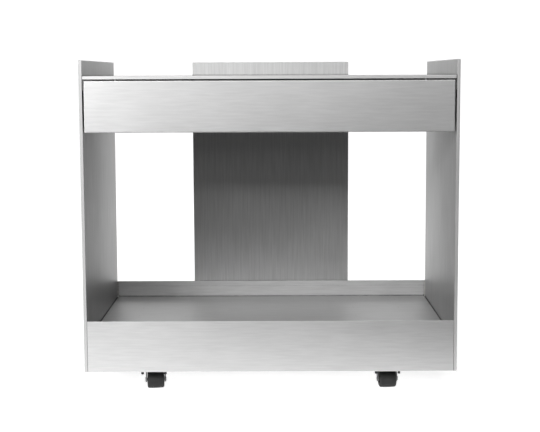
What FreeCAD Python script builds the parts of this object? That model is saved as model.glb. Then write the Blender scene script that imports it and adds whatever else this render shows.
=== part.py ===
import FreeCAD, Part
import math
import os

# Serving trolley in folded stainless sheet. Two full-depth side panels and a back plank carry a
# worktop with a drawer below it and a rimmed tray near the floor, on four swivel castors.
# Millimetres, +Z up, front towards -Y, origin on the floor in the middle of the footprint.

# Overall sizes
overall_width = 800.0          # across the outer faces of the side panels
side_depth = 443.0             # front edge to rear edge of a side panel
panel_height = 667.0           # foot to top of the side panels and the back plank

# Sheet and fits
sheet = 1.2                    # sheet of the panels, worktop, tray and drawer
inside_bend = 0.8              # inside radius of a fold in that sheet
hem_round = 1.0                # rounding of a hemmed edge
skin_fit = 0.1                 # inner skin to the folded returns around it
seat_gap = 0.3                 # assembly play between bolted sheet parts
running_play = 0.05            # pins in bores, balls on tracks, nuts on threads, on the radius

# Side panels and back plank
panel_thickness = 7.0
plank_thickness = 7.0
plank_width = 392.0
plank_stud_x = 90.0            # plank studs, each side of the middle
plank_stud_drops = (34.0, 74.0)  # upper plank studs, below the underside of the worktop

# Worktop and the rails that carry it
upstand = 33.0                 # side panels and plank above the worktop
worktop_edge = 7.0             # height of the worktop's folded edge
rail_leg = 23.0
rail_thickness = 2.0
rail_setback = 3.0             # rail ends behind the front of the trolley
rail_rear_gap = 0.8            # rail ends in front of the apron
rail_stud_drop = 14.0          # panel studs below the top of the rail
rail_stud_margin = 45.0        # end studs from the ends of the rail
rail_stud_count = 4
worktop_stud_inset = 12.0      # worktop studs from the inner face of the side panel
worktop_stud_length = 16.0
apron_flange = 20.0
apron_stud_inset = 11.0        # rearmost worktop studs from the rear edge of the worktop

# Drawer
drawer_gap = 3.0               # around the drawer front
drawer_front_height = 109.0
drawer_front_thickness = 15.0
box_rise = 7.0                 # box floor above the lower edge of the drawer front
box_headroom = 32.0            # box rim below the upper edge of the drawer front
box_hem = 8.0
drawer_stud_margin = 80.0      # outer drawer-front studs from the ends of the box
drawer_stud_columns = 4
drawer_stud_rise = 20.0        # stud rows from the floor and the rim of the box
buffer_diameter = 14.0
buffer_length = 16.5           # apron to the back of the closed drawer, less the seat gap
buffer_neck = 6.0
buffer_bead = 9.0
buffer_bead_height = 1.5
buffer_inset = 93.0            # rubber buffers from the inner faces of the side panels

# Drawer runners, measured inwards from the side panel's inner face
runner_height = 45.0
runner_thickness = 12.7
runner_sheet = 1.2
runner_bend = 0.4
runner_front_gap = 2.0         # runners behind the drawer front
runner_rear_gap = 8.0          # runners short of the back of the drawer box
flange_setback = 1.7           # outer and middle flanges short of the drawer box
outer_lip_gap = 1.9            # outer member's lips to the middle member's flanges
middle_web_gap = 0.7           # screw heads to the middle member
inner_flange_gap = 0.6         # inner member's flanges to the middle member's web
ball_pitch = 25.0
balls_per_row = 8
strip_thickness = 0.8
strip_gap = 0.3                # ball strips to the members beside them
strip_edge = 0.3               # inner ball strip left on each side of its ball windows
strip_rear_gap = 100.0         # ball strips from the rear ends of the closed runners
runner_screw_margin = 40.0
runner_screw_count = 3

# Tray
fascia_height = 111.0
fascia_gap = 0.8               # fascia ends to the side panels
fascia_flange = 118.0           # depth of the fascia's lower flange, which the castors bolt to
fascia_hem = 12.0
tray_rim = 40.0                # rim above the tray floor
floor_flange = 30.0
tray_stud_drop = 17.0          # studs below the tray floor
tray_side_stud_margin = 60.0
tray_side_stud_count = 4
fascia_stud_offset = 90.0      # outer fascia studs from the castor axes, towards the side panels
bearer_width = 76.0
bearer_flange = 18.0
bearer_sheet = 2.0

# Castors
wheel_diameter = 38.0
wheel_width = 37.0
wheel_crown = 0.5              # fall of the tread from its middle to its shoulders
wheel_shoulder = 4.0
core_diameter = 28.0
core_inset = 1.0               # wheel core inside the faces of the tyre
hub_diameter = 12.0
hub_reach = 0.4                # hub ends proud of the tyre
core_rim = 3.0
core_web = 9.0
castor_trail = 16.0
crown_diameter = 52.0
crown_thickness = 2.5
crown_clearance = 1.2          # crown over the wheel
crown_rim = 2.0
crown_rim_gap = 0.4            # crown rim below the plate
race_ball = 4.2
race_diameter = 40.0
race_count = 14
leg_gap = 0.8                  # wheel to the fork legs
leg_thickness = 2.5
leg_front = 13.0               # fork legs at the crown, ahead of and behind the swivel axis
leg_rear = 14.0
axle_diameter = 6.0
axle_head = 10.0
axle_head_height = 1.2
axle_boss = 13.0
kingpin_diameter = 8.0
kingpin_head = 14.0
kingpin_head_height = 2.5
kingpin_head_play = 0.1
castor_plate = (72.0, 86.0)
castor_plate_thickness = 4.0
castor_plate_corner = 6.0
castor_bolt_spacing = (50.0, 66.0)
castor_side_inset = 138.0      # castor axes from the inner faces of the side panels
castor_end_inset = 70.5        # castor axes from the front and rear of the tray
# Swivel of each castor at rest, in degrees about +Z from trailing straight back
castor_turns = {"front_left": 187.0, "front_right": 184.0, "rear_left": 180.0, "rear_right": 180.0}

# Fasteners
stud_diameter = 5.0
stud_length = 10.0
stud_play = 0.2
stud_nut = (8.0, 4.0)          # across flats and height
screw_diameter = 3.5
screw_play = 0.1
screw_head = (7.0, 2.3)        # diameter and height
screw_head_round = 0.8
screw_socket = (2.0, 1.3)      # across flats and depth
screw_nut = (6.0, 2.8)
screw_end = 0.5                # drawer screws proud of their nuts
clinch_nut = (8.0, 3.0)        # diameter and height
bolt_diameter = 6.0
bolt_play = 0.3
bolt_head = (10.0, 4.0)
bolt_nut = (10.0, 5.0)
bolt_end = 6.0                 # bolt proud of its nut
drill_reach = 5.0              # how far a drilled hole is cut each way, past the sheet

# Levels and faces that follow from the sizes above
race_height = race_ball + 2 * running_play
castor_height = (wheel_diameter + crown_clearance + crown_thickness
                 + race_height + castor_plate_thickness)
outer_bend = inside_bend + sheet
hem_thickness = 2 * sheet

x_outer = overall_width / 2
x_inner = x_outer - panel_thickness
x_castor = x_inner - castor_side_inset
y_front = -(side_depth + plank_thickness) / 2
y_rear = y_front + side_depth

z_foot = castor_height
z_top = z_foot + panel_height
z_worktop = z_top - upstand
z_rail = z_worktop - worktop_edge
z_drawer_top = z_rail - drawer_gap
z_drawer_foot = z_drawer_top - drawer_front_height
z_rim = z_foot + fascia_height
z_floor = z_rim - tray_rim
z_tray_stud = z_floor - tray_stud_drop

Vector = FreeCAD.Vector
forward = Vector(0, -1, 0)
rearward = Vector(0, 1, 0)
upward = Vector(0, 0, 1)
downward = Vector(0, 0, -1)
sides = (("left", -1), ("right", 1))


def inward(side):
    """Direction from a side panel towards the middle of the trolley."""
    return Vector(-side, 0, 0)


def from_panel(side, distance):
    """X of a point at a distance inwards from a side panel's inner face."""
    return side * (x_inner - distance)


def spread(first, last, count):
    """Evenly spaced values from first to last."""
    return [first + (last - first) * k / (count - 1) for k in range(count)]


def block(low, high):
    """Box between two opposite corners, given in any order."""
    corners = [sorted(pair) for pair in zip(low, high)]
    lengths = [pair[1] - pair[0] for pair in corners]
    return Part.makeBox(*lengths, Vector(*[pair[0] for pair in corners]))


def rod(diameter, start, direction, length):
    return Part.makeCylinder(diameter / 2, length, Vector(*start), direction)


def placed(shape, start, direction):
    """Copy of a shape made along +Z from the origin, moved to a start point and a direction."""
    copy = shape.copy()
    copy.Placement = FreeCAD.Placement(Vector(*start), FreeCAD.Rotation(upward, direction))
    return copy


def rims(shape):
    """Round edges of a turned shape."""
    return [edge for edge in shape.Edges if isinstance(edge.Curve, Part.Circle)]


def hexagon_bar(across, height):
    """Hexagonal bar along +Z, its end corners turned off."""
    corner = across / math.sqrt(3)
    turns = [k * math.pi / 3 for k in range(7)]
    outline = Part.makePolygon([Vector(corner * math.cos(a), corner * math.sin(a), 0) for a in turns])
    bar = Part.Face(outline).extrude(Vector(0, 0, height))
    turned = Part.makeCylinder(corner, height)
    return bar.common(turned.makeChamfer(corner - across / 2, rims(turned)))


def nut(size, thread):
    """Hexagon nut along +Z from its seat; size is its width across flats and its height."""
    bore = Part.makeCylinder(thread / 2 + running_play, size[1])
    return hexagon_bar(*size).cut(bore)


def pan_screw(length):
    """Socket screw along +Z, its low round head below the origin."""
    diameter, height = screw_head
    head = rod(diameter, (0, 0, -height), upward, height)
    top = [edge for edge in rims(head) if edge.CenterOfMass.z < -height / 2]
    head = head.makeFillet(screw_head_round, top)
    socket = placed(hexagon_bar(*screw_socket), (0, 0, -height), upward)
    return head.fuse(rod(screw_diameter, (0, 0, 0), upward, length)).cut(socket)


def weld_studs(face_points, direction, length=stud_length):
    """Threaded studs, each welded by its end to a sheet face."""
    return [rod(stud_diameter, point, direction, length) for point in face_points]


def drill(shape, points, direction, diameter):
    """Shape with a hole through its sheet at each point."""
    bits = []
    for point in points:
        start = Vector(*point) - direction * drill_reach
        bits.append(rod(diameter, start, direction, 2 * drill_reach))
    return shape.cut(bits)


def edges_off(shape, axis, level):
    """Edges of a box that do not lie in the plane where an axis has the given level."""
    return [edge for edge in shape.Edges
            if any(abs(corner.Point[axis] - level) > sheet / 2 for corner in edge.Vertexes)]


def edges_along(shape, axis):
    """Straight edges of a box that run along one axis."""
    chosen = []
    for edge in shape.Edges:
        ends = [corner.Point[axis] for corner in edge.Vertexes]
        if abs(ends[0] - ends[1]) > sheet / 2:
            chosen.append(edge)
    return chosen


def pan(low, high, axis, sign):
    """Sheet folded up on four sides: a box with round bends, open towards the given axis and sign."""
    outer = block(low, high)
    open_level = high[axis] if sign > 0 else low[axis]
    outer = outer.makeFillet(outer_bend, edges_off(outer, axis, open_level))
    inner_low = [value + sheet for value in low]
    inner_high = [value - sheet for value in high]
    open_end = inner_high if sign > 0 else inner_low
    open_end[axis] = open_level + sign * outer_bend
    inner = block(inner_low, inner_high)
    inner = inner.makeFillet(inside_bend, edges_off(inner, axis, open_end[axis]))
    return outer.cut(inner)


def cassette(low, high, axis, sign):
    """Hollow panel: a folded pan, and the flat inner skin set flush into its open side."""
    shell = pan(low, high, axis, sign)
    skin_low = [value + sheet + skin_fit for value in low]
    skin_high = [value - sheet - skin_fit for value in high]
    open_level = high[axis] if sign > 0 else low[axis]
    skin_low[axis] = open_level
    skin_high[axis] = open_level - sign * sheet
    skin = block(skin_low, skin_high)
    return shell, skin.makeFillet(inside_bend, edges_along(skin, axis))


def outlined_face(stretches):
    """Flat face inside a closed outline of straight stretches (two points) and arcs (three)."""
    edges = []
    for stretch in stretches:
        curve = Part.LineSegment(*stretch) if len(stretch) == 2 else Part.Arc(*stretch)
        edges.append(curve.toShape())
    return Part.Face(Part.Wire(Part.__sortEdges__(edges)))


def folded_sheet(corners, thickness, bend, place, sweep):
    """Bent strip: the middle line's corners give the profile, which is swept straight.

    Each bend is an arc round the inside radius, on both faces of the sheet. place puts a point
    of the profile into space.
    """
    points = [Vector(u, v, 0) for u, v in corners]
    half = thickness / 2
    runs = [(b - a).normalize() for a, b in zip(points, points[1:])]
    normals = [Vector(-run.y, run.x, 0) for run in runs]
    faces = ([], [])
    for offset, edges in ((half, faces[0]), (-half, faces[1])):
        last = points[0] + normals[0] * offset
        for k in range(1, len(runs)):
            before, after = runs[k - 1], runs[k]
            turn = 1 if before.cross(after).z > 0 else -1
            middle_radius = bend + half
            setback = middle_radius * math.tan(before.getAngle(after) / 2)
            start = points[k] - before * setback
            end = points[k] + after * setback
            centre = start + normals[k - 1] * (turn * middle_radius)
            towards = (points[k] - centre).normalize()
            arc = [start + normals[k - 1] * offset,
                   centre + towards * (middle_radius - turn * offset),
                   end + normals[k] * offset]
            edges.append((last, arc[0]))
            edges.append(tuple(arc))
            last = arc[2]
        edges.append((last, points[-1] + normals[-1] * offset))
    caps = [(faces[0][0][0], faces[1][0][0]), (faces[0][-1][-1], faces[1][-1][-1])]
    outline = [[place(p.x, p.y) for p in stretch] for stretch in faces[0] + faces[1] + caps]
    return outlined_face(outline).extrude(sweep)


def turned_about_x(stretches):
    """Solid of revolution about the X axis, from an outline in distances along it and radii."""
    outline = [[Vector(x, 0, r) for x, r in stretch] for stretch in stretches]
    return outlined_face(outline).revolve(Vector(0, 0, 0), Vector(1, 0, 0), 360)


def closed_runs(points):
    """Straight stretches round a closed outline."""
    return list(zip(points, points[1:] + points[:1]))


def export(name, *solids):
    """Write one named piece, or a group of like pieces, to its own file."""
    shape = solids[0] if len(solids) == 1 else Part.makeCompound(list(solids))
    shape.exportStep(os.path.join("parts", name + ".step"))


os.makedirs("parts", exist_ok=True)

# Rail and stud places shared by the panels, rails, worktop, apron and nuts
stud_hole = stud_diameter + 2 * stud_play
screw_hole = screw_diameter + 2 * screw_play
stud_nut_shape = nut(stud_nut, stud_diameter)
screw_nut_shape = nut(screw_nut, screw_diameter)

rail_front = y_front + rail_setback
rail_rear = y_rear - sheet - rail_rear_gap
rail_stud_y = spread(rail_front + rail_stud_margin, rail_rear - rail_stud_margin, rail_stud_count)
z_rail_stud = z_rail - rail_stud_drop
worktop_stud_y = [(a + b) / 2 for a, b in zip(rail_stud_y, rail_stud_y[1:])]
apron_stud_y = y_rear - apron_stud_inset

tray_front = y_front + sheet
tray_rear = y_rear - sheet
tray_stud_y = spread(tray_front + tray_side_stud_margin, tray_rear - tray_side_stud_margin,
                     tray_side_stud_count)
plank_stud_pair = [-plank_stud_x, plank_stud_x]
fascia_stud_x = [-x_castor - fascia_stud_offset, 0, x_castor + fascia_stud_offset]
tray_ends = (("front", y_front, rearward, fascia_stud_x),
             ("rear", y_rear, forward, fascia_stud_x + plank_stud_pair))

# Drawer and runner places
front_back = y_front + drawer_front_thickness
box_half = x_inner - runner_thickness
box_rear = y_rear - sheet - buffer_length - seat_gap
z_box_foot = z_drawer_foot + box_rise
z_box_top = z_drawer_top - box_headroom
z_runner = (z_box_foot + z_box_top) / 2
runner_front = front_back + runner_front_gap
runner_rear = box_rear - runner_rear_gap
runner_screw_y = spread(runner_front + runner_screw_margin, runner_rear - runner_screw_margin,
                        runner_screw_count)

frame_studs = []
frame_nuts = []
drawer_nuts = []

# Side panels: folded outer pan, and inner skin with studs for the rail and the tray
for name, side in sides:
    low = (min(side * x_outer, side * x_inner), y_front, z_foot)
    high = (max(side * x_outer, side * x_inner), y_rear, z_top)
    shell, liner = cassette(low, high, 0, -side)
    rail_points = [(from_panel(side, 0), y, z_rail_stud) for y in rail_stud_y]
    tray_points = [(from_panel(side, 0), y, z_tray_stud) for y in tray_stud_y]
    screw_points = [(from_panel(side, 0), y, z_runner) for y in runner_screw_y]
    frame_studs += weld_studs(rail_points + tray_points, inward(side))
    liner = drill(liner, screw_points, inward(side), screw_hole)
    export(name + "_side_shell", shell)
    export(name + "_side_liner", liner)

# Back plank: the same hollow panel behind the side panels, its studs facing forward
plank_half = plank_width / 2
shell, liner = cassette((-plank_half, y_rear, z_foot),
                        (plank_half, y_rear + plank_thickness, z_top), 1, -1)
plank_upper = [(x, y_rear, z_rail - drop) for x in plank_stud_pair for drop in plank_stud_drops]
plank_lower = [(x, y_rear, z_tray_stud) for x in plank_stud_pair]
frame_studs += weld_studs(plank_upper + plank_lower, forward)
export("back_plank_shell", shell)
export("back_plank_liner", liner)

# Worktop: shallow inverted pan with studs below it, on an angle rail along each side panel
worktop_half = x_inner - seat_gap
worktop = pan((-worktop_half, y_front, z_rail), (worktop_half, y_rear, z_worktop), 2, -1)
export("worktop", worktop)
for name, side in sides:
    x_stud = from_panel(side, worktop_stud_inset)
    points = [(x_stud, y, z_worktop - sheet) for y in worktop_stud_y + [apron_stud_y]]
    frame_studs += weld_studs(points, downward, worktop_stud_length)
    rail = folded_sheet(
        [(rail_thickness / 2, -rail_leg), (rail_thickness / 2, -rail_thickness / 2),
         (rail_leg, -rail_thickness / 2)],
        rail_thickness, inside_bend,
        lambda u, v: Vector(from_panel(side, u), rail_front, z_rail + v),
        rearward * (rail_rear - rail_front))
    panel_points = [(from_panel(side, rail_thickness), y, z_rail_stud) for y in rail_stud_y]
    rail = drill(rail, panel_points, inward(side), stud_hole)
    top_points = [(x_stud, y, z_rail - rail_thickness) for y in worktop_stud_y + [apron_stud_y]]
    rail = drill(rail, top_points, downward, stud_hole)
    export("worktop_rail_" + name, rail)
    frame_nuts += [placed(stud_nut_shape, point, inward(side)) for point in panel_points]
    frame_nuts += [placed(stud_nut_shape, point, downward) for point in top_points[:-1]]
    apron_seat = (x_stud, apron_stud_y, z_rail - rail_thickness - sheet)
    frame_nuts.append(placed(stud_nut_shape, apron_seat, downward))

# Rear apron: channel that ties the rails, the worktop and the plank behind the drawer
apron_half = x_inner - rail_thickness - inside_bend - seat_gap
apron_top = z_rail - rail_thickness
apron = folded_sheet(
    [(apron_flange, -sheet / 2), (sheet / 2, -sheet / 2),
     (sheet / 2, z_drawer_foot - apron_top + sheet / 2),
     (apron_flange, z_drawer_foot - apron_top + sheet / 2)],
    sheet, inside_bend,
    lambda u, v: Vector(-apron_half, y_rear - u, apron_top + v),
    Vector(2 * apron_half, 0, 0))
apron_points = [(from_panel(side, worktop_stud_inset), apron_stud_y, apron_top - sheet)
                for name, side in sides]
apron = drill(apron, apron_points, downward, stud_hole)
apron = drill(apron, plank_upper, forward, stud_hole)
buffer_points = [(from_panel(side, buffer_inset), y_rear, z_runner) for name, side in sides]
apron = drill(apron, buffer_points, forward, buffer_neck + 2 * running_play)
export("rear_apron", apron)
frame_nuts += [placed(stud_nut_shape, (x, y_rear - sheet, z), forward) for x, y, z in plank_upper]

# Rubber buffers: pushed through the apron, a bead behind it, their faces just off the closed drawer
buffers = []
for x, y, z in buffer_points:
    cushion = rod(buffer_diameter, (x, y - sheet, z), forward, buffer_length)
    front_rim = [edge for edge in rims(cushion) if edge.CenterOfMass.y < y - buffer_length]
    cushion = cushion.makeFillet(inside_bend, front_rim)
    neck = rod(buffer_neck, (x, y, z), forward, sheet)
    bead = rod(buffer_bead, (x, y, z), rearward, buffer_bead_height)
    buffers.append(cushion.fuse([neck, bead]))
export("drawer_buffers", *buffers)

# Tray floor: inverted pan between the side panels, bolted through its downturned flanges
floor_half = x_inner - seat_gap
floor = pan((-floor_half, tray_front, z_floor - floor_flange), (floor_half, tray_rear, z_floor), 2, -1)
for name, side in sides:
    points = [(side * (floor_half - sheet), y, z_tray_stud) for y in tray_stud_y]
    floor = drill(floor, points, inward(side), stud_hole)
    frame_nuts += [placed(stud_nut_shape, point, inward(side)) for point in points]
for name, face, into, stud_x in tray_ends:
    points = [Vector(x, face, z_tray_stud) + into * (2 * sheet) for x in stud_x]
    floor = drill(floor, points, into, stud_hole)
    frame_nuts += [placed(stud_nut_shape, point, into) for point in points]
export("tray_floor", floor)

# Tray fascias: hemmed web with a deep lower flange that the castors bolt to
castor_y = {"front": y_front + castor_end_inset, "rear": y_rear - castor_end_inset}
bolt_offsets = [(sx * castor_bolt_spacing[0] / 2, sy * castor_bolt_spacing[1] / 2)
                for sx in (-1, 1) for sy in (-1, 1)]
bolt_hole = bolt_diameter + 2 * bolt_play
fascia_half = x_inner - fascia_gap
for name, face, into, stud_x in tray_ends:
    web = folded_sheet(
        [(sheet / 2, fascia_height - fascia_hem / 2), (sheet / 2, sheet / 2), (fascia_flange, sheet / 2)],
        sheet, inside_bend,
        lambda u, v: Vector(-fascia_half, face + into.y * u, z_foot + v),
        Vector(2 * fascia_half, 0, 0))
    hem = block((-fascia_half, face, z_rim - fascia_hem),
                (fascia_half, face + into.y * hem_thickness, z_rim))
    crest = [edge for edge in edges_along(hem, 0) if edge.CenterOfMass.z > z_rim - sheet]
    fascia = web.fuse(hem.makeFillet(hem_round, crest)).removeSplitter()
    points = [Vector(x, face, z_tray_stud) + into * sheet for x in fascia_stud_x]
    frame_studs += weld_studs(points, into)
    if name == "rear":
        fascia = drill(fascia, plank_lower, forward, stud_hole)
    bolts = [(side * x_castor + dx, castor_y[name] + dy, z_foot)
             for label, side in sides for dx, dy in bolt_offsets]
    export("tray_" + name + "_fascia", drill(fascia, bolts, upward, bolt_hole))
export("frame_weld_studs", *frame_studs)
export("frame_nuts", *frame_nuts)

# Castor bearers: hat channels from front to rear, welded below the tray floor
bearer_front = tray_front + outer_bend + seat_gap
bearer_rear = tray_rear - outer_bend - seat_gap
bearer_foot = z_foot + sheet
bearer_top = z_floor - sheet
for name, side in sides:
    half = bearer_width / 2 - bearer_sheet / 2
    low = bearer_foot + bearer_sheet / 2
    high = bearer_top - bearer_sheet / 2
    bearer = folded_sheet(
        [(-half - bearer_flange, high), (-half, high), (-half, low),
         (half, low), (half, high), (half + bearer_flange, high)],
        bearer_sheet, inside_bend,
        lambda u, v: Vector(side * x_castor + u, bearer_front, v),
        rearward * (bearer_rear - bearer_front))
    bolts = [(side * x_castor + dx, y + dy, bearer_foot)
             for y in castor_y.values() for dx, dy in bolt_offsets]
    export("castor_bearer_" + name, drill(bearer, bolts, upward, bolt_hole))

# Drawer front: hollow panel with studs through the front wall of the drawer box
front_half = x_inner - drawer_gap
shell, liner = cassette((-front_half, y_front, z_drawer_foot),
                        (front_half, front_back, z_drawer_top), 1, 1)
drawer_stud_x = spread(-box_half + drawer_stud_margin, box_half - drawer_stud_margin, drawer_stud_columns)
drawer_studs = [(x, front_back, z) for x in drawer_stud_x
                for z in (z_box_foot + drawer_stud_rise, z_box_top - drawer_stud_rise)]
export("drawer_front_shell", shell)
export("drawer_front_liner", liner)
export("drawer_weld_studs", *weld_studs(drawer_studs, rearward))
drawer_nuts += [placed(stud_nut_shape, (x, y + sheet, z), rearward) for x, y, z in drawer_studs]

# Drawer box: folded box with a hemmed rim
box = pan((-box_half, front_back, z_box_foot), (box_half, box_rear, z_box_top), 2, 1)
ring_outer = block((-box_half, front_back, z_box_top - box_hem), (box_half, box_rear, z_box_top))
ring_outer = ring_outer.makeFillet(outer_bend, edges_along(ring_outer, 2))
ring_inner = block((-box_half + hem_thickness, front_back + hem_thickness, z_box_top - 2 * box_hem),
                   (box_half - hem_thickness, box_rear - hem_thickness, z_box_top + box_hem))
ring_inner = ring_inner.makeFillet(inside_bend, edges_along(ring_inner, 2))
box = box.fuse(ring_outer.cut(ring_inner)).removeSplitter()
crest = [edge for edge in box.Edges if edge.BoundBox.ZMin > z_box_top - hem_round / 2]
box = box.makeFillet(hem_round, crest)
box = drill(box, drawer_studs, rearward, stud_hole)
for name, side in sides:
    points = [(side * (box_half - sheet), y, z_runner) for y in runner_screw_y]
    box = drill(box, points, inward(side), screw_hole)
    drawer_nuts += [placed(screw_nut_shape, point, inward(side)) for point in points]
export("drawer_box", box)
export("drawer_nuts", *drawer_nuts)

# Runner members in section: distances from the panel, and heights from the runner's middle.
# The balls are as large as the inner strip's width leaves room for.
half_sheet = runner_sheet / 2
middle_web = runner_sheet + screw_head[1] + middle_web_gap
inner_web = runner_thickness - runner_sheet
inner_strip = (middle_web + runner_sheet + strip_gap, inner_web - strip_gap)
ball_diameter = inner_strip[1] - inner_strip[0] - 2 * (strip_edge + running_play)
ball_step = ball_diameter / 2 + running_play
outer_track = runner_height / 2 - runner_sheet
outer_ball_z = outer_track - ball_step
middle_outside = outer_ball_z - ball_step
middle_track = middle_outside - runner_sheet
inner_ball_z = middle_track - ball_step
inner_outside = inner_ball_z - ball_step
outer_flange = runner_thickness - flange_setback
inner_tip = middle_web + runner_sheet + inner_flange_gap
outer_strip = (runner_sheet + strip_gap, outer_flange - runner_sheet - strip_gap)
outer_ball_t = (middle_web + outer_strip[1]) / 2
inner_ball_t = sum(inner_strip) / 2
strip_length = ball_pitch * balls_per_row
strip_rear = runner_rear - strip_rear_gap
ball_y = [strip_rear - ball_pitch * (k + 0.5) for k in range(balls_per_row)]

lip_line = outer_flange - half_sheet
outer_line = outer_track + half_sheet
middle_line = middle_track + half_sheet
inner_line = inner_outside - half_sheet
member_sections = {
    "outer": [(lip_line, middle_outside + outer_lip_gap), (lip_line, outer_line), (half_sheet, outer_line)],
    "middle": [(outer_flange, middle_line), (middle_web + half_sheet, middle_line)],
    "inner": [(inner_tip, inner_line), (inner_web + half_sheet, inner_line)],
}
row_sections = {
    "outer": (outer_strip, outer_ball_t, outer_ball_z),
    "inner": (inner_strip, inner_ball_t, inner_ball_z),
}


def runner_member(side, upper_half):
    """Channel whose section is the given upper half and its reflection."""
    corners = upper_half + [(t, -z) for t, z in reversed(upper_half)]
    return folded_sheet(corners, runner_sheet, runner_bend,
                        lambda u, v: Vector(from_panel(side, u), runner_front, z_runner + v),
                        rearward * (runner_rear - runner_front))


def ball_row(side, strip, ball_t, z):
    """Flat ball strip with its round windows, and the balls in them."""
    holder = block((from_panel(side, strip[0]), strip_rear - strip_length, z - strip_thickness / 2),
                   (from_panel(side, strip[1]), strip_rear, z + strip_thickness / 2))
    centres = [Vector(from_panel(side, ball_t), y, z) for y in ball_y]
    holder = drill(holder, centres, upward, ball_diameter + 2 * running_play)
    return holder, [Part.makeSphere(ball_diameter / 2, centre) for centre in centres]


# Runners: outer member on the side panel, middle member on balls, inner member on the drawer box
outer_screw = pan_screw(runner_sheet + sheet + clinch_nut[1])
inner_screw = pan_screw(runner_sheet + sheet + screw_nut[1] + screw_end)
clinch_shape = Part.makeCylinder(clinch_nut[0] / 2, clinch_nut[1])
clinch_shape = clinch_shape.cut(Part.makeCylinder(screw_diameter / 2 + running_play, clinch_nut[1]))
outer_screws = []
inner_screws = []
clinch_nuts = []
for name, side in sides:
    outer_points = [Vector(from_panel(side, runner_sheet), y, z_runner) for y in runner_screw_y]
    inner_points = [Vector(from_panel(side, inner_web), y, z_runner) for y in runner_screw_y]
    outer = runner_member(side, member_sections["outer"])
    inner = runner_member(side, member_sections["inner"])
    export("runner_outer_" + name, drill(outer, outer_points, inward(side), screw_hole))
    export("runner_middle_" + name, runner_member(side, member_sections["middle"]))
    export("runner_inner_" + name, drill(inner, inner_points, inward(side), screw_hole))
    outer_screws += [placed(outer_screw, point, -inward(side)) for point in outer_points]
    inner_screws += [placed(inner_screw, point, inward(side)) for point in inner_points]
    clinch_nuts += [placed(clinch_shape, (from_panel(side, -sheet), y, z_runner), -inward(side))
                    for y in runner_screw_y]
export("runner_outer_screws", *outer_screws)
export("runner_inner_screws", *inner_screws)
export("runner_clinch_nuts", *clinch_nuts)
for row, (strip, ball_t, rise) in row_sections.items():
    strips = []
    balls = []
    for name, side in sides:
        for z in (z_runner - rise, z_runner + rise):
            holder, row_balls = ball_row(side, strip, ball_t, z)
            strips.append(holder)
            balls += row_balls
    export("runner_" + row + "_ball_strips", *strips)
    export("runner_" + row + "_balls", *balls)

# Castor pieces round the swivel axis, the wheel trailing towards the rear
plate_foot = z_foot - castor_plate_thickness
crown_top = plate_foot - race_height
crown_foot = crown_top - crown_thickness
z_axle = wheel_diameter / 2
leg_inside = wheel_width / 2 + leg_gap
leg_outside = leg_inside + leg_thickness
kingpin_hole = kingpin_diameter + 2 * running_play

half_x, half_y = castor_plate[0] / 2, castor_plate[1] / 2
plate = block((-half_x, -half_y, plate_foot), (half_x, half_y, z_foot))
plate = plate.makeFillet(castor_plate_corner, edges_along(plate, 2))
plate_bores = [rod(bolt_hole, (dx, dy, plate_foot), upward, castor_plate_thickness)
               for dx, dy in bolt_offsets]
plate = plate.cut(plate_bores + [rod(kingpin_hole, (0, 0, plate_foot), upward, castor_plate_thickness)])

kingpin_head_top = crown_foot - kingpin_head_play
kingpin = rod(kingpin_diameter, (0, 0, kingpin_head_top), upward, z_foot - kingpin_head_top)
kingpin = kingpin.fuse(rod(kingpin_head, (0, 0, kingpin_head_top), downward, kingpin_head_height))

race_turns = [2 * math.pi * k / race_count for k in range(race_count)]
race_balls = [Part.makeSphere(race_ball / 2, Vector(race_diameter / 2 * math.cos(a),
                                                    race_diameter / 2 * math.sin(a),
                                                    crown_top + race_height / 2))
              for a in race_turns]


def tangent_point(corner, centre, radius, turn):
    """Point where a line from a corner touches a circle, on the side given by turn, in (y, z)."""
    dy, dz = corner[0] - centre[0], corner[1] - centre[1]
    angle = math.atan2(dz, dy) + turn * math.acos(radius / math.hypot(dy, dz))
    return centre[0] + radius * math.cos(angle), centre[1] + radius * math.sin(angle)


# Fork: dished crown, and two legs that taper down to the axle
crown = rod(crown_diameter, (0, 0, crown_foot), upward, crown_thickness)
rim_height = plate_foot - crown_rim_gap - crown_foot
rim = rod(crown_diameter, (0, 0, crown_foot), upward, rim_height)
rim = rim.cut(rod(crown_diameter - 2 * crown_rim, (0, 0, crown_foot), upward, rim_height))
leg_top = crown_foot + crown_thickness / 2
axle_centre = (castor_trail, z_axle)
boss = axle_boss / 2
front_touch = tangent_point((-leg_front, leg_top), axle_centre, boss, 1)
rear_touch = tangent_point((leg_rear, leg_top), axle_centre, boss, -1)
leg_outline = [((leg_rear, leg_top), (-leg_front, leg_top)), ((-leg_front, leg_top), front_touch),
               (front_touch, (castor_trail, z_axle - boss), rear_touch), (rear_touch, (leg_rear, leg_top))]
across = Vector(1, 0, 0)
legs = []
for x_leg in (-leg_outside, leg_inside):
    outline = [[Vector(x_leg, y, z) for y, z in stretch] for stretch in leg_outline]
    legs.append(outlined_face(outline).extrude(across * leg_thickness))
fork = crown.fuse([rim] + legs).removeSplitter()
fork = fork.cut(rod(kingpin_hole, (0, 0, crown_foot), upward, crown_thickness))
axle_start = (-leg_outside - axle_head_height, castor_trail, z_axle)
axle_length = 2 * (leg_outside + axle_head_height)
fork = fork.cut(rod(axle_diameter + 2 * running_play, axle_start, across, axle_length))

# Axle: plain pin, riveted over outside both legs
axle = rod(axle_diameter, axle_start, across, axle_length)
head_starts = (-leg_outside - axle_head_height, leg_outside)
axle = axle.fuse([rod(axle_head, (x, castor_trail, z_axle), across, axle_head_height) for x in head_starts])

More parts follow.
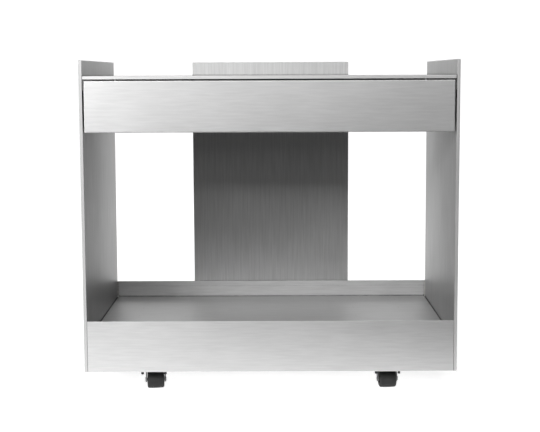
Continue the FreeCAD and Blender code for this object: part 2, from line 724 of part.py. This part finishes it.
# Wheel: moulded core with a recessed web, and a crowned tyre round it
bore_radius = axle_diameter / 2 + running_play
core_radius = core_diameter / 2
hub_radius = hub_diameter / 2
core_half = wheel_width / 2 - core_inset
hub_half = wheel_width / 2 + hub_reach
rim_inside = core_radius - core_rim
upper = [(hub_half, bore_radius), (hub_half, hub_radius), (core_web / 2, hub_radius),
         (core_web / 2, rim_inside), (core_half, rim_inside), (core_half, core_radius)]
core = turned_about_x(closed_runs(upper + [(-x, r) for x, r in reversed(upper)]))
tyre_inside = core_radius + running_play
tread = wheel_diameter / 2
tyre_half = wheel_width / 2
shoulder_x = tyre_half - wheel_shoulder
shoulder_r = tread - wheel_crown
turn_x = shoulder_x + wheel_shoulder * math.sin(math.pi / 4)
turn_r = shoulder_r - wheel_shoulder * (1 - math.cos(math.pi / 4))
tyre = turned_about_x([
    ((-tyre_half, tyre_inside), (tyre_half, tyre_inside)),
    ((tyre_half, tyre_inside), (tyre_half, shoulder_r - wheel_shoulder)),
    ((tyre_half, shoulder_r - wheel_shoulder), (turn_x, turn_r), (shoulder_x, shoulder_r)),
    ((shoulder_x, shoulder_r), (0, tread), (-shoulder_x, shoulder_r)),
    ((-shoulder_x, shoulder_r), (-turn_x, turn_r), (-tyre_half, shoulder_r - wheel_shoulder)),
    ((-tyre_half, shoulder_r - wheel_shoulder), (-tyre_half, tyre_inside)),
])
wheel_place = Vector(0, castor_trail, z_axle)
core = core.translated(wheel_place)
tyre = tyre.translated(wheel_place)

# Bolts from above through the bearer, the fascia flange and the plate
grip = bearer_sheet + sheet + castor_plate_thickness
bolt_shank = rod(bolt_diameter, (0, 0, 0), downward, grip + bolt_nut[1] + bolt_end)
bolt = hexagon_bar(*bolt_head).fuse(bolt_shank)
bolt_nut_shape = nut(bolt_nut, bolt_diameter)

swivelling = {"castor_fork_": fork, "castor_axle_": axle, "wheel_core_": core, "tyre_": tyre}
kingpins = []
swivel_balls = []
bolts = []
bolt_nuts = []
for end, y in castor_y.items():
    for name, side in sides:
        place = Vector(side * x_castor, y, 0)
        label = end + "_" + name
        export("castor_plate_" + label, plate.translated(place))
        for piece, shape in swivelling.items():
            turned = shape.rotated(Vector(0, 0, 0), upward, castor_turns[label])
            export(piece + label, turned.translated(place))
        kingpins.append(kingpin.translated(place))
        swivel_balls += [ball.translated(place) for ball in race_balls]
        for dx, dy in bolt_offsets:
            over = place + Vector(dx, dy, 0)
            bolts.append(bolt.translated(over + upward * (bearer_foot + bearer_sheet)))
            bolt_nuts.append(placed(bolt_nut_shape, over + upward * plate_foot, downward))
export("castor_kingpins", *kingpins)
export("castor_swivel_balls", *swivel_balls)
export("castor_bolts", *bolts)
export("castor_nuts", *bolt_nuts)
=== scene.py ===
import math
import bpy
import numpy as np
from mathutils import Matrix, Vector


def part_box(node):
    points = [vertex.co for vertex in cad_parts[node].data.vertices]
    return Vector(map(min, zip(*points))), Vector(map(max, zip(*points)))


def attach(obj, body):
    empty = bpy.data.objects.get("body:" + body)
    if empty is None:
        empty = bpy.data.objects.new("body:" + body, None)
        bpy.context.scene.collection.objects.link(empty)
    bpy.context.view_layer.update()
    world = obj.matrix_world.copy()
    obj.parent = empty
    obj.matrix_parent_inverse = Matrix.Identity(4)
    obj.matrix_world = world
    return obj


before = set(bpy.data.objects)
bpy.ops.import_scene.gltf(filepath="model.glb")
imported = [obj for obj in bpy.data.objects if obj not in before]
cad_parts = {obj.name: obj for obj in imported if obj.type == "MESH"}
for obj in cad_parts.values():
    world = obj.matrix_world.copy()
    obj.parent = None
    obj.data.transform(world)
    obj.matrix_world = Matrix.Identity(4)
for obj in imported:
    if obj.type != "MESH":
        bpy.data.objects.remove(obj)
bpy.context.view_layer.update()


# Side panels: each is a hollow panel of stainless sheet, an outer shell folded round four edges and a flat
# liner set flush into it. Both skins are brushed upwards, and studs on the liner bolt to the rail and tray.
def add(tree, kind, inputs=None, **settings):
    """One shader node: its settings, and its inputs as plain values or as sockets to link from."""
    made = tree.nodes.new(kind)
    for key, value in settings.items():
        setattr(made, key, value)
    for key, value in (inputs or {}).items():
        if isinstance(value, bpy.types.NodeSocket):
            tree.links.new(value, made.inputs[key])
        else:
            made.inputs[key].default_value = value
    return made


def math_node(tree, operation, *values):
    """Output of one sum, product or the like of plain values and sockets."""
    return add(tree, "ShaderNodeMath", dict(enumerate(values)), operation=operation).outputs[0]


def between(tree, value, low, high, **ends):
    """Value carried from the span low to high onto 0 to 1, or onto the given To Min and To Max."""
    span = {"Value": value, "From Min": low, "From Max": high}
    ends = {"To " + key.capitalize(): end for key, end in ends.items()}
    return add(tree, "ShaderNodeMapRange", {**span, **ends}).outputs["Result"]


def cloud_noise(tree, vector, scale, detail):
    """Soft noise with about the given number of clouds to a metre."""
    noise = add(tree, "ShaderNodeTexNoise", {"Vector": vector, "Scale": scale, "Detail": detail})
    return noise.outputs["Fac"]


def stretched_noise(tree, vector, along, across, detail):
    """Noise drawn out along X: the place is scaled by along in X and by across in Y and Z."""
    scale = add(tree, "ShaderNodeCombineXYZ", {"X": along, "Y": across, "Z": across})
    place = add(tree, "ShaderNodeVectorMath", {0: vector, 1: scale.outputs[0]}, operation="MULTIPLY")
    return cloud_noise(tree, place.outputs[0], scale=1.0, detail=detail)


def effect(name, sizes, outputs):
    """Empty shader group that takes a place and named sizes, as (group, its input sockets, its outlets)."""
    group = bpy.data.node_groups.new(name, "ShaderNodeTree")
    group.interface.new_socket("Vector", in_out="INPUT", socket_type="NodeSocketVector")
    for label, value in sizes.items():
        socket = group.interface.new_socket(label, in_out="INPUT", socket_type="NodeSocketFloat")
        socket.default_value = value
    for label in outputs:
        group.interface.new_socket(label, in_out="OUTPUT", socket_type="NodeSocketFloat")
    given = group.nodes.new("NodeGroupInput").outputs
    return group, given, group.nodes.new("NodeGroupOutput").inputs


def placed(tree, group, vector, **sizes):
    """Outputs of a shader group that is set into a material at a place, with its sizes by name."""
    return add(tree, "ShaderNodeGroup", {"Vector": vector, **sizes}, node_tree=group).outputs


# Brushed grain: fine streaks, and bands of streaks that are wider and a little longer.
streaks_along, streaks_across = 26.0, 900.0
band_along, band_across = 0.8, 0.28
brushed_grain, given, outlets = effect("brushed grain", {"Along": streaks_along, "Across": streaks_across},
                                       ["Streak", "Band"])
streak = stretched_noise(brushed_grain, given["Vector"], given["Along"], given["Across"], detail=3.0)
band = stretched_noise(brushed_grain, given["Vector"],
                       math_node(brushed_grain, "MULTIPLY", given["Along"], band_along),
                       math_node(brushed_grain, "MULTIPLY", given["Across"], band_across), detail=2.0)
brushed_grain.links.new(streak, outlets["Streak"])
brushed_grain.links.new(between(brushed_grain, band, low=0.3, high=0.7), outlets["Band"])

# Handling marks: broad smudges that hands and cloths leave.
smudges = 5.0
handling, given, outlets = effect("handling marks", {"Scale": smudges}, ["Smudge"])
smudge = cloud_noise(handling, given["Vector"], given["Scale"], detail=4.0)
handling.links.new(between(handling, smudge, low=0.5, high=0.75), outlets["Smudge"])

# Crease shade: a patchy mask of painted shade wherever other faces stand close by.
shade_reach = 0.006
crease_shade, given, outlets = effect("painted crease shade", {"Reach": shade_reach}, ["Grime"])
shelter = add(crease_shade, "ShaderNodeAmbientOcclusion", {"Distance": given["Reach"]}, samples=8)
packed = between(crease_shade, shelter.outputs["AO"], low=0.85, high=0.4)
patchy = cloud_noise(crease_shade, given["Vector"], scale=90.0, detail=2.0)
patchy = between(crease_shade, patchy, low=0.2, high=0.6, min=0.6)
crease_shade.links.new(math_node(crease_shade, "MULTIPLY", packed, patchy), outlets["Grime"])

# Edge wear: bright where a rounded copy of the face would lean away from it, broken up by noise.
rubbed_width = 0.0012
edge_wear, given, outlets = effect("edge wear", {"Radius": rubbed_width}, ["Wear"])
rounded = add(edge_wear, "ShaderNodeBevel", {"Radius": given["Radius"]}, samples=6).outputs["Normal"]
flat = add(edge_wear, "ShaderNodeNewGeometry").outputs["Normal"]
agree = add(edge_wear, "ShaderNodeVectorMath", {0: rounded, 1: flat}, operation="DOT_PRODUCT")
edge = between(edge_wear, agree.outputs["Value"], low=0.99, high=0.85)
broken = cloud_noise(edge_wear, given["Vector"], scale=60.0, detail=3.0)
broken = between(edge_wear, broken, low=0.35, high=0.6)
edge_wear.links.new(math_node(edge_wear, "MULTIPLY", edge, broken), outlets["Wear"])


def new_finish(name, metallic):
    """Material with its tree, its shader and the object's own coordinates."""
    material = bpy.data.materials.new(name)
    material.use_nodes = True
    tree = material.node_tree
    shader = tree.nodes["Principled BSDF"]
    shader.inputs["Metallic"].default_value = metallic
    return material, tree, shader, add(tree, "ShaderNodeTexCoord").outputs["Object"]


def grey(level):
    """Plain grey as an opaque colour."""
    return (level, level, level, 1.0)


def mixed(tree, factor, low, high):
    """Colour between two colours, each a plain one or a socket."""
    mix = add(tree, "ShaderNodeMix", {"Factor": factor}, data_type="RGBA")
    for socket, colour in zip((mix.inputs["A"], mix.inputs["B"]), (low, high)):
        if isinstance(colour, bpy.types.NodeSocket):
            tree.links.new(colour, socket)
        else:
            socket.default_value = colour
    return mix.outputs["Result"]


def ridged(tree, shader, height, strength, depth):
    """Ridges or dimples of the given depth on the shader's normal."""
    bump = add(tree, "ShaderNodeBump", {"Height": height, "Strength": strength, "Distance": depth})
    tree.links.new(bump.outputs["Normal"], shader.inputs["Normal"])


def brushed_sheet(name, grain, tones, roughness, stretch, along=streaks_along, across=streaks_across):
    """Brushed stainless: fine streaks tint, roughen and ridge the face, and the gloss spreads across them.

    The grain is a turn that lays it along X and a direction that is not along it. Edges are rubbed bright,
    and painted shade darkens the creases towards grey.
    """
    turn, across_grain = grain
    band_share, gloss_swing, smudge_dulling = 0.6, 0.04, 0.04
    rubbed_edge, crease_shade_grey = grey(0.74), (0.09, 0.09, 0.085, 1.0)
    material, tree, shader, place = new_finish(name, metallic=1.0)
    turned = add(tree, "ShaderNodeMapping", {"Vector": place, "Rotation": turn}).outputs["Vector"]
    brushed = placed(tree, brushed_grain, turned, Along=along, Across=across)
    marks = placed(tree, handling, place, Scale=smudges)
    crease = placed(tree, crease_shade, place, Reach=shade_reach)
    worn = placed(tree, edge_wear, place, Radius=rubbed_width)
    tint = add(tree, "ShaderNodeMix", {"Factor": band_share, "A": brushed["Streak"], "B": brushed["Band"]})
    tint = tint.outputs["Result"]
    steel = mixed(tree, tint, grey(tones[0]), grey(tones[1]))
    steel = mixed(tree, worn["Wear"], steel, rubbed_edge)
    # Painted shade: the colour goes towards dark grey in creases, where other faces stand close.
    steel = mixed(tree, crease["Grime"], steel, crease_shade_grey)
    tree.links.new(steel, shader.inputs["Base Color"])
    smooth, rough = roughness - gloss_swing, roughness + gloss_swing
    gloss = between(tree, brushed["Streak"], low=0.3, high=0.7, min=smooth, max=rough)
    dulled = math_node(tree, "MULTIPLY_ADD", marks["Smudge"], smudge_dulling, gloss)
    tree.links.new(dulled, shader.inputs["Roughness"])
    ridged(tree, shader, tint, strength=0.06, depth=0.0003)
    shader.inputs["Anisotropic"].default_value = stretch
    spread = add(tree, "ShaderNodeCombineXYZ", dict(zip("XYZ", across_grain)))
    tree.links.new(spread.outputs[0], shader.inputs["Tangent"])
    return material


def finish(material, *names):
    """Gives the named CAD pieces their material."""
    for name in names:
        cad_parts[name].material_slots[0].material = material


quarter_turn = math.radians(90)
grain_up = ((0, quarter_turn, 0), (1.0, 1.3, 0.0))
upright_along = 12.0  # longer streaks than on the level sheets
upright_sheet = brushed_sheet("upright brushed sheet", grain_up, (0.59, 0.69), roughness=0.64, stretch=0.1,
                              along=upright_along)
# The liners face into the bay, and their tones are set far below the shell's though they are the same steel:
# painted shade.
shaded_inner_sheet = brushed_sheet("inner sheet with painted shade", grain_up, (0.29, 0.42), roughness=0.46, stretch=0.5,
                            along=upright_along)
finish(upright_sheet, "left_side_shell", "right_side_shell")
finish(shaded_inner_sheet, "left_side_liner", "right_side_liner")

# Back plank: a hollow panel like the sides, of a folded stainless shell and a flush liner, brushed upwards.
# It stands behind the rear edges of the side panels and is bolted to the apron and to the tray.
# The liner faces into the bay under the drawer, and its tones are set below the shell's though it is the
# same steel: painted shade.
shaded_plank_sheet = brushed_sheet("plank sheet with painted shade", grain_up, (0.46, 0.6), roughness=0.46, stretch=0.5,
                            along=upright_along)
finish(upright_sheet, "back_plank_shell")
finish(shaded_plank_sheet, "back_plank_liner")

# Worktop: one stainless sheet, dully brushed from side to side and folded down on four sides. It lies on two
# angle rails of plain rolled stainless, and a folded apron, brushed the same way, crosses the back.
grain_sideways = ((0, 0, 0), (0.0, 1.0, 1.2))
grain_backwards = ((0, 0, quarter_turn), (1.0, 0.0, 1.2))
top_sheet = brushed_sheet("worktop brushed sheet", grain_sideways, (0.635, 0.725), roughness=0.6,
                          stretch=0.3)
level_sheet = brushed_sheet("level brushed sheet", grain_sideways, (0.635, 0.725), roughness=0.42,
                            stretch=0.6)
rolled_sheet = brushed_sheet("rolled sheet", grain_backwards, (0.46, 0.54), roughness=0.42, stretch=0.2,
                             along=20.0, across=300.0)
finish(top_sheet, "worktop")
finish(level_sheet, "rear_apron")
finish(rolled_sheet, "worktop_rail_left", "worktop_rail_right")


# Drawer buffers: two moulded rubber studs that stop the closing drawer, matt, with a bloom of fine specks.
# Their necks are pushed through holes in the apron.
def cloudy_gloss(tree, shader, cloud, roughness, swing=0.2):
    """Roughness that a noise from 0 to 1 carries from half the swing below the given one to half above."""
    gloss = math_node(tree, "MULTIPLY_ADD", cloud, swing, roughness - swing / 2)
    tree.links.new(gloss, shader.inputs["Roughness"])


def moulded(name, tones, roughness, speck, depth):
    """Matt moulding: a fine speckle dimples the face and changes its gloss, and tints it in soft patches."""
    material, tree, shader, place = new_finish(name, metallic=0.0)
    grit = cloud_noise(tree, place, speck, detail=3.0)
    patches = placed(tree, handling, place, Scale=60.0)["Smudge"]
    tint = math_node(tree, "MULTIPLY", grit, patches)
    tree.links.new(mixed(tree, tint, grey(tones[0]), grey(tones[1])), shader.inputs["Base Color"])
    cloudy_gloss(tree, shader, grit, roughness)
    ridged(tree, shader, grit, strength=0.15, depth=depth)
    return material


buffer_rubber = moulded("buffer rubber", (0.018, 0.06), roughness=0.7, speck=1500.0, depth=0.0003)
finish(buffer_rubber, "drawer_buffers")

# Tray: a stainless floor folded down on four sides between two fascias with hemmed rims, all brushed from
# side to side. Two castor bearers of rolled sheet are welded below the floor.
# The floor's tones are set below the front fascia's though it is the same steel: painted shade of the bay
# under the drawer.
shaded_tray_sheet = brushed_sheet("tray sheet with painted shade", grain_sideways, (0.45, 0.52), roughness=0.48, stretch=0.4)
rim_sheet = brushed_sheet("rear rim brushed sheet", grain_sideways, (0.54, 0.64), roughness=0.62,
                          stretch=0.1)
finish(level_sheet, "tray_front_fascia")
finish(shaded_tray_sheet, "tray_floor")
finish(rim_sheet, "tray_rear_fascia")
finish(rolled_sheet, "castor_bearer_left", "castor_bearer_right")


# Tray corner welds: short upright beads of stainless weld that close the rear corners of the tray. They are
# laid in small overlapping ripples and left unground.
def weld_bead(start, end, radius, ripple, around=16):
    """Round bead about the line from start to end, which lies in the corner that the bead fills.

    The radius swells and shrinks by a tenth with a sine of the way along, one wave for each ripple, and over
    the last two radii at each end it falls to a third by a square.
    """
    ripple_depth, end_radii, end_loss = 0.1, 2.0, 0.67
    ripple_steps, least_steps = 8, 24
    not_along = (0.3, 0.5, 0.8)
    start, end = np.array(start), np.array(end)
    length = np.linalg.norm(end - start)
    way = np.linspace(0.0, length, max(int(length / ripple) * ripple_steps, least_steps))
    from_end = np.minimum(way, length - way) / (end_radii * radius)
    taper = 1.0 - end_loss * np.clip(1.0 - from_end, 0.0, 1.0) ** 2
    swell = radius * taper * (1.0 + ripple_depth * np.sin(2.0 * math.pi * way / ripple))
    turn = np.linspace(0.0, 2.0 * math.pi, around, endpoint=False)
    line = (end - start) / length
    side = np.cross(line, not_along)
    side /= np.linalg.norm(side)
    other = np.cross(line, side)
    ring = np.cos(turn)[:, None] * side + np.sin(turn)[:, None] * other
    points = start + way[:, None, None] * line + swell[:, None, None] * ring
    first = np.arange(len(way) - 1)[:, None] * around
    here = np.arange(around)
    ahead = (here + 1) % around
    corners = [first + here, first + ahead, first + around + ahead, first + around + here]
    caps = np.stack([here[::-1], (len(way) - 1) * around + here])
    return points.reshape(-1, 3), np.stack(corners, axis=-1).reshape(-1, 4), caps


def weld_piece(name, beads, material):
    """One smooth-shaded object of several beads, riding on the carcass."""
    points, faces, start = [], [], 0
    for bead_points, sides, caps in beads:
        points.append(bead_points)
        faces += (sides + start).tolist() + (caps + start).tolist()
        start += len(bead_points)
    mesh = bpy.data.meshes.new(name)
    mesh.from_pydata(np.concatenate(points).tolist(), [], faces)
    mesh.polygons.foreach_set("use_smooth", [True] * len(mesh.polygons))
    mesh.materials.append(material)
    piece = bpy.data.objects.new(name, mesh)
    bpy.context.scene.collection.objects.link(piece)
    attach(piece, "carcass")


def weld_metal(name, dull, bright, roughness):
    """Bare weld: soft clouds of lighter and darker grey that also change the gloss and roughen the skin."""
    material, tree, shader, place = new_finish(name, metallic=1.0)
    cloud = cloud_noise(tree, place, scale=180.0, detail=3.0)
    tint = between(tree, cloud, low=0.3, high=0.7)
    tree.links.new(mixed(tree, tint, dull, bright), shader.inputs["Base Color"])
    cloudy_gloss(tree, shader, cloud, roughness)
    ridged(tree, shader, cloud, strength=0.1, depth=0.0002)
    return material


bare_weld = weld_metal("bare weld", (0.3, 0.29, 0.28, 1.0), (0.5, 0.49, 0.47, 1.0), roughness=0.42)
corner_radius, corner_ripple = 0.0017, 0.0019
panel_gap, rear_gap, foot_gap, head_gap = 0.0004, 0.0016, 0.001, 0.0015
corner_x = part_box("right_side_liner")[0][0] - panel_gap
corner_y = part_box("tray_rear_fascia")[1][1] - rear_gap
corner_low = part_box("tray_floor")[1][2] + foot_gap
corner_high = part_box("tray_rear_fascia")[1][2] - head_gap
corner_beads = [weld_bead((side * corner_x, corner_y, corner_low), (side * corner_x, corner_y, corner_high),
                          corner_radius, corner_ripple) for side in (-1, 1)]
weld_piece("tray_corner_welds", corner_beads, bare_weld)

# Bearer welds: stitches of bare stainless weld along both flanges of each castor bearer, evenly spaced. They
# hold the bearers to the underside of the tray floor.
stitch, stitch_count, stitch_inset = 0.026, 5, 0.04
stitch_radius, stitch_ripple, stitch_sink = 0.0018, 0.0021, 0.0006
stitches = []
for name in ("castor_bearer_left", "castor_bearer_right"):
    low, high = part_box(name)
    stitch_z = high[2] - stitch_sink
    for edge_x in (low[0], high[0]):
        for middle in np.linspace(low[1] + stitch_inset, high[1] - stitch_inset, stitch_count):
            stitches.append(weld_bead((edge_x, middle - stitch / 2, stitch_z),
                                      (edge_x, middle + stitch / 2, stitch_z), stitch_radius, stitch_ripple))
weld_piece("bearer_stitch_welds", stitches, bare_weld)


# Castors: pressed steel plates and forks, dull zinc plated, with riveted axles and headed kingpins. Each
# wheel is a moulded plastic core with a black rubber tyre.
def plated(name, dark, light, roughness, cells):
    """Plated or bare steel: small cells of different grey under soft clouds.

    The clouds are larger than the cells, and they also change the gloss and roughen the skin.
    """
    cloud_share, clouds = 0.6, cells * 0.3
    material, tree, shader, place = new_finish(name, metallic=1.0)
    cell = add(tree, "ShaderNodeTexVoronoi", {"Vector": place, "Scale": cells}).outputs["Color"]
    shade = add(tree, "ShaderNodeSeparateColor", {"Color": cell}).outputs[0]
    cloud = cloud_noise(tree, place, clouds, detail=4.0)
    tint = add(tree, "ShaderNodeMix", {"Factor": cloud_share, "A": shade, "B": cloud}).outputs["Result"]
    tree.links.new(mixed(tree, tint, (*dark, 1.0), (*light, 1.0)), shader.inputs["Base Color"])
    cloudy_gloss(tree, shader, cloud, roughness)
    ridged(tree, shader, cloud, strength=0.05, depth=0.0002)
    return material


castor_zinc = plated("castor zinc plate", (0.2, 0.2, 0.205), (0.32, 0.32, 0.325), roughness=0.48,
                     cells=400.0)
tyre_rubber = moulded("tyre rubber", (0.009, 0.03), roughness=0.62, speck=900.0, depth=0.0003)
wheel_plastic = moulded("wheel plastic", (0.02, 0.05), roughness=0.5, speck=1200.0, depth=0.0002)
for corner in ("front_left", "front_right", "rear_left", "rear_right"):
    finish(castor_zinc, "castor_plate_" + corner, "castor_fork_" + corner, "castor_axle_" + corner)
    finish(tyre_rubber, "tyre_" + corner)
    finish(wheel_plastic, "wheel_core_" + corner)
finish(castor_zinc, "castor_kingpins")

# Drawer runners: rolled channels of zinc plated steel, three to a side, that slide in one another. Polished
# steel balls run between them in pressed strips, and balls of the same steel carry the castors' swivels.
runner_zinc = plated("runner zinc plate", (0.54, 0.55, 0.57), (0.68, 0.69, 0.71), roughness=0.3,
                     cells=250.0)
for member in ("outer", "middle", "inner"):
    finish(runner_zinc, "runner_" + member + "_left", "runner_" + member + "_right")
finish(runner_zinc, "runner_outer_ball_strips", "runner_inner_ball_strips")
polished = plated("polished balls", (0.7, 0.7, 0.71), (0.8, 0.8, 0.81), roughness=0.14, cells=900.0)
finish(polished, "runner_outer_balls", "runner_inner_balls", "castor_swivel_balls")

# Drawer: a hollow stainless front, brushed from side to side, of a folded shell and a flush liner. It is
# bolted to a folded stainless box with a hemmed rim.
finish(level_sheet, "drawer_front_shell", "drawer_front_liner")
# The box takes the darker tray tones: painted shade that tones down its highlight under the key lamp.
finish(shaded_tray_sheet, "drawer_box")

# Fasteners: plain steel weld studs, screws and nuts that hold the frame, the drawer and the runners. The
# castors are held by bolts and nuts coloured near black: painted shade, as they hang in shadow below the
# tray.
fastener = plated("fastener steel", (0.44, 0.44, 0.44), (0.58, 0.58, 0.58), roughness=0.34, cells=1200.0)
finish(fastener, "frame_weld_studs", "frame_nuts", "drawer_weld_studs", "drawer_nuts", "runner_outer_screws",
       "runner_inner_screws", "runner_clinch_nuts")
# Painted shade: the castor bolts and nuts are coloured near black because they hang in shadow.
shade_black_bolts = plated("near-black bolts with painted shade", (0.035, 0.035, 0.037), (0.08, 0.08, 0.082), roughness=0.45,
                   cells=900.0)
finish(shade_black_bolts, "castor_bolts", "castor_nuts")


# Floor and wall: a plain white studio floor inside a round white wall. Both show white to the camera and in
# reflections, and the floor keeps the shadow that the lamps throw.
def white_stage(name, paint_grey, glow):
    """Diffuse white, with a glow that only the camera, reflections and clear materials see."""
    material = bpy.data.materials.new(name)
    material.use_nodes = True
    tree = material.node_tree
    tree.nodes.remove(tree.nodes["Principled BSDF"])
    ray = add(tree, "ShaderNodeLightPath").outputs
    seen = math_node(tree, "MAXIMUM", ray["Is Camera Ray"], ray["Is Glossy Ray"])
    seen = math_node(tree, "MAXIMUM", seen, ray["Is Transmission Ray"])
    strength = math_node(tree, "MULTIPLY", seen, glow(tree))
    paint = add(tree, "ShaderNodeBsdfDiffuse", {"Color": grey(paint_grey)})
    light = add(tree, "ShaderNodeEmission", {"Color": grey(1.0), "Strength": strength})
    both = add(tree, "ShaderNodeAddShader", {0: paint.outputs[0], 1: light.outputs[0]})
    tree.links.new(both.outputs[0], tree.nodes["Material Output"].inputs["Surface"])
    return material


def floor_glow(tree):
    """Less glow round the object, where its shadow lies, rising smoothly to white further out."""
    place = add(tree, "ShaderNodeTexCoord").outputs["Object"]
    reach = add(tree, "ShaderNodeVectorMath", {0: place}, operation="LENGTH").outputs["Value"]
    fade = {"Value": reach, "From Min": 0.45, "From Max": 1.6, "To Min": 0.78, "To Max": 1.0}
    return add(tree, "ShaderNodeMapRange", fade, interpolation_type="SMOOTHSTEP").outputs["Result"]


def stage_mesh(name, points, faces, material):
    """Part of the studio, which is no part of the trolley."""
    mesh = bpy.data.meshes.new(name)
    mesh.from_pydata(points, [], faces)
    made = bpy.data.objects.new(name, mesh)
    bpy.context.scene.collection.objects.link(made)
    mesh.materials.append(material)
    return made


def upright_ring(radius, height, sides, rear_limit=math.inf):
    """Circle carried up from the floor to a height, as points and faces.

    Each point is the radius times the cosine and the sine of its turn. A face is left out where its first
    corner is not in front of the rear limit.
    """
    turn = np.arange(sides) * 2.0 * math.pi / sides
    x, y = radius * np.cos(turn), radius * np.sin(turn)
    points = np.concatenate([np.stack([x, y, np.full(sides, z)], axis=-1) for z in (0.0, height)])
    here = np.flatnonzero(y < rear_limit)
    ahead = (here + 1) % sides
    return points.tolist(), np.stack([here, ahead, sides + ahead, sides + here], axis=-1).tolist()


wall_radius, wall_height, wall_sides = 9.0, 5.0, 96
wall_points, wall_faces = upright_ring(wall_radius, wall_height, wall_sides)
floor_white = white_stage("studio floor white", paint_grey=0.7, glow=floor_glow)
wall_white = white_stage("studio wall white", paint_grey=0.5, glow=lambda tree: 1.0)
stage_mesh("studio_floor", wall_points[:wall_sides], [tuple(range(wall_sides))], floor_white)
stage_mesh("studio_wall", wall_points, wall_faces, wall_white)

# Black cards: one lies on the floor in front, out of the picture, and one stands behind the lamps, so that
# the steel mirrors no bright floor and no bright wall there. Only reflections see them.
card = bpy.data.materials.new("black card")
card.use_nodes = True
card.node_tree.nodes["Principled BSDF"].inputs["Base Color"].default_value = grey(0.01)
card.node_tree.nodes["Principled BSDF"].inputs["Roughness"].default_value = 0.9
card_lift, screen_gap, screen_front = 0.004, 0.1, -3.4
card_edge = ((-4, -7), (4, -7), (4, -0.42), (0.6, -0.42), (-0.6, -0.72), (-4, -0.72))
low_card = stage_mesh("black_card", [(x, y, card_lift) for x, y in card_edge],
                      [tuple(range(len(card_edge)))], card)
screen_points, screen_faces = upright_ring(wall_radius - screen_gap, wall_height, wall_sides, screen_front)
high_card = stage_mesh("black_screen", screen_points, screen_faces, card)
for flag in (low_card, high_card):
    flag.visible_camera = flag.visible_diffuse = flag.visible_shadow = flag.visible_transmission = False


# Light: a wide soft box high on the left is the key, a wider one above the camera fills the front, and a
# weak one hangs below them. One stands behind, and a large one hangs over the worktop.
def soft_box(name, place, target, width, height, watts):
    """Flat lamp of the given size that faces the target."""
    lamp = bpy.data.lights.new(name, "AREA")
    lamp.shape = "RECTANGLE"
    lamp.size, lamp.size_y, lamp.energy = width, height, watts
    made = bpy.data.objects.new(name, lamp)
    made.location = place
    aim = Vector(target) - Vector(place)
    made.rotation_mode = "QUATERNION"
    made.rotation_quaternion = aim.to_track_quat("-Z", "Y")
    bpy.context.scene.collection.objects.link(made)


soft_box("key_box", (-2.5, -3.2, 2.1), (-2.5, 0.0, 1.8), width=2.4, height=1.0, watts=142.0)
soft_box("front_box", (0.0, -3.2, 2.1), (0.0, 0.0, 1.8), width=3.0, height=1.0, watts=42.0)
soft_box("low_box", (-0.75, -3.2, 1.275), (-0.75, 0.0, 0.975), width=1.5, height=0.65, watts=5.0)
soft_box("rear_box", (0.0, 3.2, 2.4), (0.0, 0.0, 0.5), width=3.0, height=1.2, watts=12.0)
soft_box("over_box", (0.0, -0.2, 3.0), (0.0, -0.2, 0.0), width=3.0, height=5.0, watts=24.0)
world = bpy.data.worlds.new("studio air")
world.use_nodes = True
world.node_tree.nodes["Background"].inputs["Color"].default_value = grey(0.05)
bpy.context.scene.world = world

# Camera: in front at the height of the worktop, tipped down a little, with the rest of the drop in its
# shift. The small roll is the one that the photograph's level edges show.
camera_place = (0.0127, -2.4257, 0.687)
camera_tip, camera_roll = math.radians(5.5), 0.00366
lens = bpy.data.cameras.new("photo_camera")
lens.lens, lens.sensor_width = 69.88, 36.0
lens.shift_x, lens.shift_y = -0.0101, -0.0762
lens.clip_start, lens.clip_end = 0.05, 60.0
camera = bpy.data.objects.new("photo_camera", lens)
camera.location = camera_place
camera.rotation_euler = (math.radians(90) - camera_tip, camera_roll, 0.0)
bpy.context.scene.collection.objects.link(camera)
bpy.context.scene.camera = camera
bpy.context.scene.view_settings.view_transform = "Standard"
